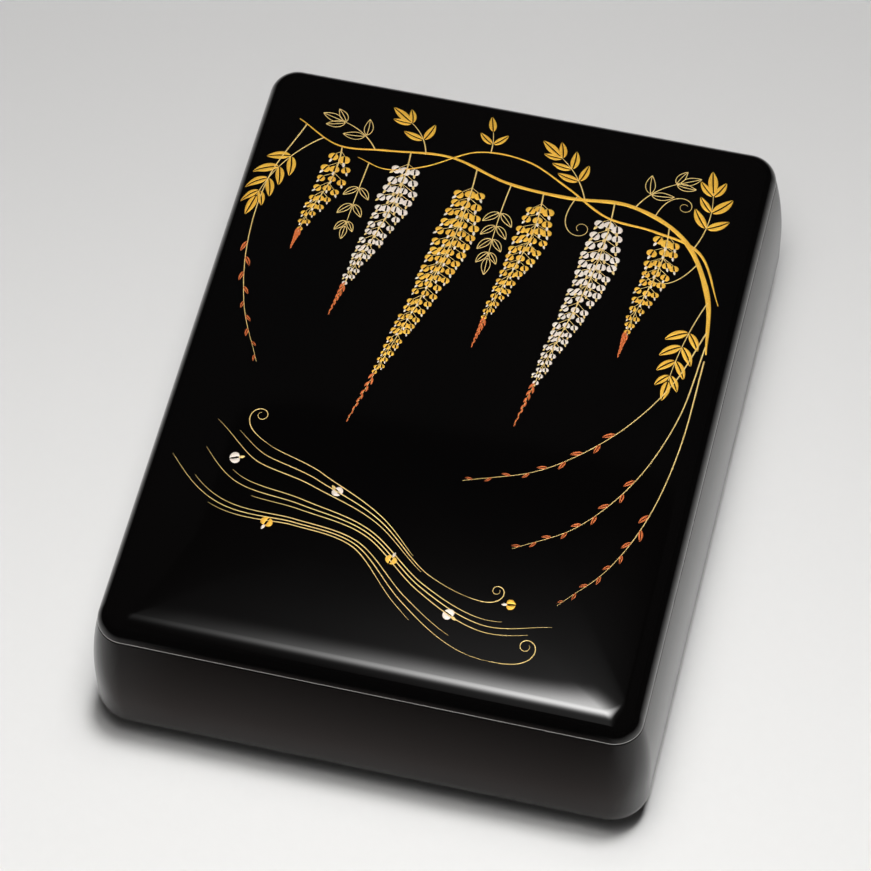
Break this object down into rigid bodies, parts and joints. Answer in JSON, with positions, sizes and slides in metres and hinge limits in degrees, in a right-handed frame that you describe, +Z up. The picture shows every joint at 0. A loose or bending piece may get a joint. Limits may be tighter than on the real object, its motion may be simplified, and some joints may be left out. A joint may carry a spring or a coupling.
{
  "type": "lacquered document box",
  "caption": "Black lacquered document box with swelling walls, rolled base edge and a flush, gently domed lid that lifts straight off a lip inside the rim.",
  "frame": {"origin": "centre of the base, on the surface that the box stands on", "axes": "+X along the width to the right, +Y along the depth to the back, +Z up, the way the lid lifts"},
  "size_m": [0.2592, 0.3362, 0.091],
  "materials": {
    "black_lacquer": "deep polished black lacquer over cloth",
    "lacquered_board": "black lacquered wood",
    "bare_wood": "plain planed wood",
    "gold_powder": "sprinkled and burnished gold powder",
    "silver_powder": "sprinkled silver powder"
  },
  "bodies": {
    "box": {"wall_front": "lacquered_board", "wall_back": "lacquered_board", "wall_left": "lacquered_board", "wall_right": "lacquered_board", "bottom_board": "lacquered_board", "body_corner_keys": "bare_wood", "bottom_pegs": "bare_wood", "lining_front": "lacquered_board", "lining_back": "lacquered_board", "lining_left": "lacquered_board", "lining_right": "lacquered_board", "body_lacquer_coat": "black_lacquer"},
    "lid": {"lid_top_board": "lacquered_board", "lid_rail_front": "lacquered_board", "lid_rail_back": "lacquered_board", "lid_rail_left": "lacquered_board", "lid_rail_right": "lacquered_board", "lid_corner_keys": "bare_wood", "lid_lacquer_coat": "black_lacquer"}
  },
  "joints": [
    {"name": "lid_lift", "type": "slide", "parent": "box", "child": "lid", "axis": [0, 0, 1], "range_m": [0, 0.12]}
  ]
}
